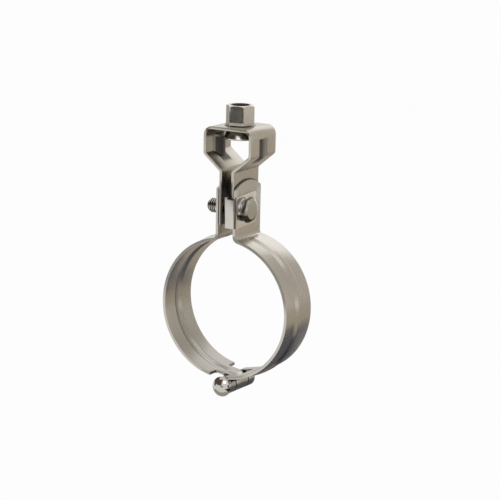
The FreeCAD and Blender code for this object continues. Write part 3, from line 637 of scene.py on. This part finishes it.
# %% [markdown]
# ## Turned pieces
# A lathe turns a profile round an axis. The helper does the same: it walks a point along the profile by
# extruding it step by step, spins the chain once round and merges the seam. A stack of cylinders could give
# the same steps, but not the domes and slopes. The pin, the bolt's collar and core, the nut's neck and bore
# and the cutters for the hexagons are all made with it.

# %% Turning


def turned(name, profile, steps=64):
    """A piece of revolution round Z, from (radius, height) points in millimetres, axis to axis."""
    let_go()
    bpy.ops.mesh.primitive_plane_add(size=1 * MM)
    piece = bpy.context.object
    piece.name = name
    bpy.ops.object.mode_set(mode="EDIT")
    bpy.ops.mesh.select_mode(type="VERT")
    bpy.ops.mesh.select_all(action="SELECT")
    bpy.ops.mesh.merge(type="CENTER")
    bpy.ops.transform.translate(value=(profile[0][0] * MM, 0, profile[0][1] * MM))
    for (radius, height), (next_radius, next_height) in zip(profile, profile[1:]):
        step = ((next_radius - radius) * MM, 0, (next_height - height) * MM)
        bpy.ops.mesh.extrude_region_move(TRANSFORM_OT_translate={"value": step})
    bpy.ops.mesh.select_all(action="SELECT")
    bpy.ops.mesh.spin(steps=steps, angle=2 * math.pi, center=(0, 0, 0), axis=(0, 0, 1))
    clean_mesh(piece)
    return piece


def arc(centre, radius, first, last, steps):
    """Points on a circle in the profile's plane, between two angles in degrees."""
    across, up = centre
    angles = [math.radians(first + (last - first) * step / steps) for step in range(steps + 1)]
    return [(across + radius * math.cos(angle), up + radius * math.sin(angle)) for angle in angles]


quarter = arc((0, 0), 1, 0, 90, 2)
print("a quarter circle in 2 steps:", [(round(across, 2), round(up, 2)) for across, up in quarter])

# %% [markdown]
# ## The hinge pin
# The pin is a plain shank through the rolled knuckles, with a domed head in front and an upset end behind
# that keeps it in. The frame's dome is exact but coarse. A turned profile with many small steps gives the
# smooth mirror that shows in the picture, where each facet would otherwise catch the light.

# %% Hinge pin
HEAD_RADIUS, HEAD_RIM, HEAD_DOME, DOME_STEPS = 5.6, 1.1, 2.7, 14
RIM_BREAK, FACE_BREAK, TAIL_BREAK = 0.25, 0.2, 0.15
SHANK_RADIUS, FACE = 3.35, 13.55
TAIL_RADIUS, TAIL_END, TAIL_ROUND = 4.2, 14.85, 0.7
SHORT_OF_RIM = 2

dome_radius = (HEAD_RADIUS ** 2 + HEAD_DOME ** 2) / (2 * HEAD_DOME)
dome_centre = (0, FACE + HEAD_RIM + HEAD_DOME - dome_radius)
dome_end = 90 - math.degrees(math.asin(HEAD_RADIUS / dome_radius)) + SHORT_OF_RIM
profile = arc(dome_centre, dome_radius, 90, dome_end, DOME_STEPS)
profile += [(HEAD_RADIUS, FACE + HEAD_RIM - RIM_BREAK), (HEAD_RADIUS, FACE + FACE_BREAK),
            (HEAD_RADIUS - FACE_BREAK, FACE), (SHANK_RADIUS, FACE), (SHANK_RADIUS, -FACE),
            (TAIL_RADIUS - TAIL_BREAK, -FACE), (TAIL_RADIUS, -FACE - TAIL_BREAK)]
profile += arc((TAIL_RADIUS - TAIL_ROUND, -TAIL_END + TAIL_ROUND), TAIL_ROUND, 0, -90, 5) + [(0, -TAIL_END)]

pin = turned("domed_hinge_pin", profile)
pin.data.transform(Matrix.Translation((0, 0, PIN_HEIGHT * MM)) @ Matrix.Rotation(math.pi / 2, 4, "X"))
smooth(pin, 40)
settle(pin, pin_finish, "hanger", "hinge_pin")

# %% [markdown]
# ## Screw threads
# A thread is one small ridge that winds round a core. The ridge's section starts as a square, its outer
# side is narrowed to a crest, and a Screw modifier winds it. A bump pattern would be lighter, but the
# threads show in outline at the bolt's tip and in the nut's mouth, so they are real geometry here.

# %% Threads
CREST_SHARE, FOOT_SHARE = 0.18, 0.46


def thread(name, root, crest, pitch, length, start, steps=28, inward=False):
    """A ridge that winds round Z from the height start, from root to crest, all in millimetres."""
    let_go()
    middle = (root + crest) / 2
    bpy.ops.mesh.primitive_plane_add(size=1 * MM, location=(middle * MM, 0, start * MM),
                                     rotation=(math.pi / 2, 0, 0))
    ridge = bpy.context.object
    ridge.name = name
    bpy.ops.object.transform_apply(location=True, rotation=True, scale=True)
    for point in ridge.data.vertices:
        outer = (point.co.x > middle * MM) != inward
        half_height = pitch * (CREST_SHARE if outer else FOOT_SHARE)
        point.co.z = (start + math.copysign(half_height, point.co.z - start * MM)) * MM
        point.co.x = (crest if outer else root) * MM
    take(ridge)
    bpy.ops.object.mode_set(mode="EDIT")
    bpy.ops.mesh.select_all(action="SELECT")
    bpy.ops.mesh.delete(type="ONLY_FACE")
    bpy.ops.object.mode_set(mode="OBJECT")
    apply_modifier(ridge, "SCREW", axis="Z", screw_offset=pitch * MM, iterations=round(length / pitch),
                   steps=steps, render_steps=steps, use_merge_vertices=False)
    bpy.ops.object.mode_set(mode="EDIT")
    bpy.ops.mesh.select_all(action="DESELECT")
    bpy.ops.mesh.select_non_manifold(extend=False, use_wire=False, use_boundary=True, use_multi_face=False,
                                     use_non_contiguous=False, use_verts=False)
    bpy.ops.mesh.edge_face_add()
    bpy.ops.object.mode_set(mode="OBJECT")
    clean_mesh(ridge)
    print(name, "winds round in", len(ridge.data.polygons), "faces")
    return ridge


# %% [markdown]
# ## Hexagons and joined forms
# The tops of the bolt's head and of the nut slope away all round, which leaves round arcs on their flats.
# Here a six-sided block is intersected with a turned round that has the slope. Bevelling the block's edges
# would be simpler, but it would give straight chamfers, and the arcs would be missing.

# %% Hexagons
CUTTER_REACH, CUTTER_STEPS = 0.62, 96


def join(first, *others):
    """Makes several pieces one object."""
    take(first)
    for other in others:
        other.select_set(True)
    bpy.ops.object.join()
    return first


def combine(first, second, operation):
    """Adds, cuts or intersects the second piece, and removes it."""
    apply_modifier(first, "BOOLEAN", operation=operation, object=second, solver="EXACT")
    bpy.data.objects.remove(second)


def hexagon(name, flats, height, foot, first_corner):
    """An upright hexagonal block, from the height foot, with the angle of its first corner in degrees."""
    let_go()
    bpy.ops.mesh.primitive_cylinder_add(vertices=6, radius=flats / math.sqrt(3) * MM, depth=height * MM,
                                        location=(0, 0, (foot + height / 2) * MM),
                                        rotation=(0, 0, math.radians(first_corner - 90)))
    block = bpy.context.object
    block.name = name
    bpy.ops.object.transform_apply(location=True, rotation=True, scale=True)
    return block


def slope_top(block, flats, inside, foot, top, slope):
    """Lets a hexagon's top fall away outside a radius, at a slope in degrees."""
    outside = flats * CUTTER_REACH
    fall = (outside - inside) * math.tan(math.radians(slope))
    profile = [(0, foot), (outside, foot), (outside, top - fall), (inside, top), (0, top)]
    combine(block, turned("slope_cutter", profile, CUTTER_STEPS), "INTERSECT")
    print(block.name, "falls", round(fall, 2), "mm at its corners")


# %% [markdown]
# ## The clamp bolt
# An ordinary hexagon bolt draws the ears together. Its head is a hexagon with a round bevel on its face and
# a stepped round collar with fine grooves below, and its thread runs nearly up to the head. The frame keeps
# a plain head and a plain core in their place. The bolt could be turned on its own axis at once, but
# upright on Z its profile is easier to read, so it is drawn there and then laid along X at the holes.

# %% Clamp bolt
BOLT_SEAT, BOLT_LENGTH = 7.6, 22.0
FLATS, HEAD_FOOT, HEAD_TOP, HEAD_TURN = 12.7, 2.35, 5.2, 8.0
FACE_INSET, FACE_SLOPE, HEAD_ROUNDING = 1.0, 24, 0.18 * MM
COLLAR_STEPS = [(0, 0), (6.7, 0.0), (6.7, 0.45), (6.15, 1.0), (5.2, 1.0), (5.2, 1.2), (6.2, 1.2),
                (6.2, 1.5), (5.6, 2.15), (5.2, 2.15), (5.2, 2.6), (0, 2.6)]
CORE_RADIUS, CORE_TOP, TIP_HEIGHT, TIP_NARROWING = 3.3, 1, 0.9, 0.7
CREST_RADIUS, PITCH, THREAD_SUNK, THREAD_SHORTER, THREAD_START = 4.0, 1.25, 0.1, 3.2, 1.1

head = hexagon("bolt_head", FLATS, HEAD_TOP - HEAD_FOOT, HEAD_FOOT, 90 + HEAD_TURN)
slope_top(head, FLATS, FLATS / 2 - FACE_INSET, 0, HEAD_TOP, FACE_SLOPE)
round_edges(head, HEAD_ROUNDING, sharper_than=20)
collar = turned("bolt_collar", COLLAR_STEPS, steps=72)
tip = -BOLT_LENGTH
core = turned("bolt_core", [(0, CORE_TOP), (CORE_RADIUS, CORE_TOP), (CORE_RADIUS, tip + TIP_HEIGHT),
                            (CORE_RADIUS - TIP_NARROWING, tip), (0, tip)], steps=28)
ridge = thread("bolt_thread", CORE_RADIUS - THREAD_SUNK, CREST_RADIUS, PITCH,
               BOLT_LENGTH - THREAD_SHORTER, tip + THREAD_START)
bolt = join(head, collar, core, ridge)
bolt.name = "threaded_clamp_bolt"
bolt.data.transform(Matrix.Translation((BOLT_SEAT * MM, -BOLT_AHEAD * MM, BOLT_HEIGHT * MM))
                    @ Matrix.Rotation(math.pi / 2, 4, "Y"))
smooth(bolt)
settle(bolt, bolt_finish, "bolt", "clamp_bolt")

# %% [markdown]
# ## The swivel nut
# The nut stands on the yoke's top plate, its round neck passes through the plate and a swaged collar below
# keeps it there, so the whole hanger can turn on it. Its hexagon is made first. It stands turned by a few
# degrees, as it was left on its rod, and gets its slope as the bolt's head does.

# %% Swivel nut
PLATE_TOP, PLATE_FOOT, COLLAR_PLAY = 100.5, 98.9, 0.05
NUT_FLATS, NUT_HEIGHT, NUT_LIFT, NUT_TURN = 14.0, 10.8, 0.5, 14.0
NUT_SLOPE, NUT_ROUNDING = 30, 0.14 * MM
NECK_RADIUS, COLLAR_SEAT, SEAT_BREAK, COLLAR_RIM, COLLAR_HEIGHT = 5.5, 6.8, 0.2, 8.6, 5.8
RIM_HEIGHT, RIM_ROUND = 1.1, 0.35
ROD_MINOR, ROD_MAJOR, ROD_PITCH, MOUTH_RADIUS = 3.95, 4.75, 1.5875, 5.4
ROD_SUNK, ROD_SHORTER, ROD_START, PAST = 0.15, 3.4, 1.5, 1

nut_foot = PLATE_TOP + NUT_LIFT
nut_top = nut_foot + NUT_HEIGHT
collar_top = PLATE_FOOT - COLLAR_PLAY
collar_foot = collar_top - COLLAR_HEIGHT
nut = hexagon("swivel_hexagon", NUT_FLATS, NUT_HEIGHT, nut_foot, NUT_TURN)
slope_top(nut, NUT_FLATS, NUT_FLATS / 2, nut_foot, nut_top, NUT_SLOPE)
print("nut stands from", round(collar_foot, 2), "to", round(nut_top, 2), "mm")

# %% [markdown]
# ## The nut's round parts
# The neck and the collar are one turned profile, joined to the hexagon by a boolean, and the bore with its
# two wide mouths is cut through all of them. Turning the whole nut with its bore in one profile would be
# shorter, but a hexagon can't be turned. The thread is wound inside last, with its crest inwards.

# %% The nut's neck, collar, bore and thread
rim = COLLAR_RIM - RIM_ROUND
collar = [(0, nut_foot + PAST), (NECK_RADIUS, nut_foot + PAST), (NECK_RADIUS, collar_top),
          (COLLAR_SEAT - SEAT_BREAK, collar_top), (COLLAR_SEAT, collar_top - SEAT_BREAK)]
collar += arc((rim, collar_foot + RIM_HEIGHT - RIM_ROUND), RIM_ROUND, 60, 0, 3)
collar += arc((rim, collar_foot + RIM_ROUND), RIM_ROUND, 0, -90, 4) + [(0, collar_foot)]
combine(nut, turned("nut_collar", collar, steps=72), "UNION")
depth = MOUTH_RADIUS - ROD_MAJOR
mouth = MOUTH_RADIUS + PAST
bore = [(0, nut_top + PAST), (mouth, nut_top + PAST), (ROD_MAJOR, nut_top - depth),
        (ROD_MAJOR, collar_foot + depth), (mouth, collar_foot - PAST), (0, collar_foot - PAST)]
combine(nut, turned("nut_bore", bore, steps=72), "DIFFERENCE")
round_edges(nut, NUT_ROUNDING, sharper_than=24)
ridge = thread("rod_thread", ROD_MAJOR + ROD_SUNK, ROD_MINOR, ROD_PITCH,
               nut_top - collar_foot - ROD_SHORTER, collar_foot + ROD_START, steps=36, inward=True)
nut = join(nut, ridge)
nut.name = "threaded_swivel_nut"
smooth(nut)
settle(nut, nut_finish, "nut", "swivel_nut")

# %% [markdown]
# ## The floor
# The hanger hangs in the air, so the floor lies some way below it and only keeps a faint shadow. The floor
# is pale, and for the camera and for reflections it is lifted to white. A stronger lamp would do that too,
# but then the object would burn out with it.

# %% Floor
FLOOR_HEIGHT, FLOOR_SIZE, FLOOR_TONE, FLOOR_WHITE = -0.17, 40, (0.86, 0.86, 0.86, 1), 0.96


def white_to_the_eye(finish, share):
    """Mixes plain white into a pale surface for the camera and for reflections."""
    kinds = ("Is Camera Ray", "Is Glossy Ray", "Is Transmission Ray")
    seen = finish.most(*(finish.ray(kind) for kind in kinds))
    glow = finish.node("ShaderNodeEmission", {}, {"Color": (1, 1, 1, 1), "Strength": 1.0})
    plain = Value(finish, finish.shader.outputs[0])
    mixed = finish.node("ShaderNodeMixShader", {}, {0: seen * share, 1: plain, 2: glow})
    finish.feed(finish.tree.nodes["Material Output"].inputs["Surface"], mixed)


floor_finish = Finish("pale_floor")
floor_finish.set(Base_Color=FLOOR_TONE, Roughness=0.9, Specular_IOR_Level=0.0)
white_to_the_eye(floor_finish, FLOOR_WHITE)
let_go()
bpy.ops.mesh.primitive_plane_add(size=FLOOR_SIZE, location=(0, 0, FLOOR_HEIGHT))
floor = bpy.context.object
floor.name = "floor"
floor.data.materials.append(floor_finish.material)
print("floor", FLOOR_HEIGHT, "m below the pipe's centre")

# %% [markdown]
# ## Two soft lamps
# A weak lamp behind the hanger lights its far side a little. A window lamp in front, high and to the right,
# puts the highlights on the pin's dome and on the bolt's collar. Both are large for their distance, as the
# soft boxes of a product studio are. A small lamp would draw hard dots on metal.

# %% Lamps
MIDDLE = (0, 0, 0.03)


def face(item, place, target, side, spin=0):
    """Puts an item at a place and turns one of its sides towards the target, with a spin in degrees."""
    item.location = place
    item.rotation_mode = "QUATERNION"
    turn = (Vector(target) - Vector(place)).to_track_quat(side, "Y")
    item.rotation_quaternion = turn @ Quaternion((0, 0, 1), math.radians(spin))


def lamp(name, place, width, height, power):
    bpy.ops.object.light_add(type="AREA")
    light = bpy.context.object
    light.name = name
    light.data.shape = "RECTANGLE"
    light.data.size, light.data.size_y = width, height
    light.data.energy = power
    face(light, place, MIDDLE, "-Z")


lamp("key_lamp", (-0.25, 1.1, 0.62), 0.7, 0.5, 0.4)
lamp("window_lamp", (0.40, -1.05, 0.85), 0.62, 0.55, 2.3)

# %% [markdown]
# ## Cards for the metal to mirror
# Satin metal shows what stands round it, and in an all white room it looks flat. A photographer puts dark
# and grey cards just outside the picture. Brown and grey cards behind and to the right give the band its
# warm sides, small dark cards below draw the streaks at its bottom, and two dark walls on the left and in
# front darken the yoke's and the nut's front faces. A darker world would do it too, but for every side
# alike. The cards glow evenly, only reflections see them, and they cast no shadow.

# %% Cards
BLACK, SLATE, DUSK = (0.02, 0.02, 0.02), (0.12, 0.125, 0.15), (0.22, 0.22, 0.25)
BROWN, DARK_BROWN = (0.50, 0.45, 0.38), (0.12, 0.10, 0.08)
GREY, DIM_GREY = (0.58, 0.55, 0.50), (0.40, 0.40, 0.37)


def card(name, place, target, width, height, tone, spin=0):
    """A card of an even tone that only reflections see."""
    paper = Finish(name + "_paper")
    paper.set(Base_Color=(0, 0, 0, 1), Roughness=1.0, Specular_IOR_Level=0.0,
              Emission_Color=(*tone, 1), Emission_Strength=1.0)
    let_go()
    bpy.ops.mesh.primitive_plane_add(size=1)
    board = bpy.context.object
    board.name = name
    board.scale = (width, height, 1)
    face(board, place, target, "Z", spin)
    board.data.materials.append(paper.material)
    board.visible_camera = False
    board.visible_shadow = False
    board.visible_diffuse = False


card("brown_card", (0.75, 0.75, -0.168), (0.75, 0.75, 1.0), 2.0, 1.7, BROWN)
card("back_card", (0.62, 1.05, 0.42), (0.17, 0, 0.03), 0.98, 1.25, GREY)
card("right_card", (1.00, 0.20, 0.50), MIDDLE, 0.8, 0.9, GREY)
card("low_card", (0.0, 0.073, -0.08), (0.0, 0.073, 1.0), 0.24, 0.096, SLATE)
card("low_side_card", (0.105, 0.13, -0.079), (0.105, 0.13, 1.0), 0.07, 0.065, SLATE)
card("far_low_card", (0.113, 0.365, -0.165), (0.113, 0.365, 1.0), 0.23, 0.10, DUSK, spin=53.5)
card("side_card", (0.57, -0.24, -0.02), (0, 0, 0.05), 0.42, 0.26, DARK_BROWN)
card("nut_side_card", (-0.75, 0.47, -0.08), (0, 0, 0.106), 0.50, 0.16, DIM_GREY)
card("left_card", (-0.50, -0.14, -0.04), (0, 0, 0.07), 0.20, 0.14, BLACK)
card("bolt_low_card", (0.095, -0.03, -0.08), (0.095, -0.03, 1.0), 0.12, 0.12, BLACK)
card("front_card", (-0.03, -1.1, -0.14), (0, 0, 0.105), 0.42, 0.30, BLACK)
card("front_wall", (-0.75, -1.30, 1.10), (-0.75, 0, 1.10), 1.20, 2.10, DARK_BROWN)
card("left_wall", (-1.35, -0.35, 0.85), (0, -0.35, 0.85), 1.9, 1.50, DARK_BROWN)

# %% [markdown]
# ## The world
# The world lights the object from all sides at a plain level, at which a colour renders about as it is
# written. The camera and the reflections see it pure white, by the same choice of rays as on the floor.

# %% World
WORLD_LEVEL = 0.6
world = bpy.data.worlds.new("studio_world")
bpy.context.scene.world = world
world.use_nodes = True
sky = Network(world.node_tree)
background = sky.tree.nodes["Background"]
sky.feed(background.inputs["Color"], (1, 1, 1, 1))
seen = sky.most(sky.ray("Is Camera Ray"), sky.ray("Is Glossy Ray"))
sky.feed(background.inputs["Strength"], WORLD_LEVEL + seen * (1 - WORLD_LEVEL))
bpy.context.scene.view_settings.view_transform = "Standard"
print("the world lights the object at", WORLD_LEVEL)
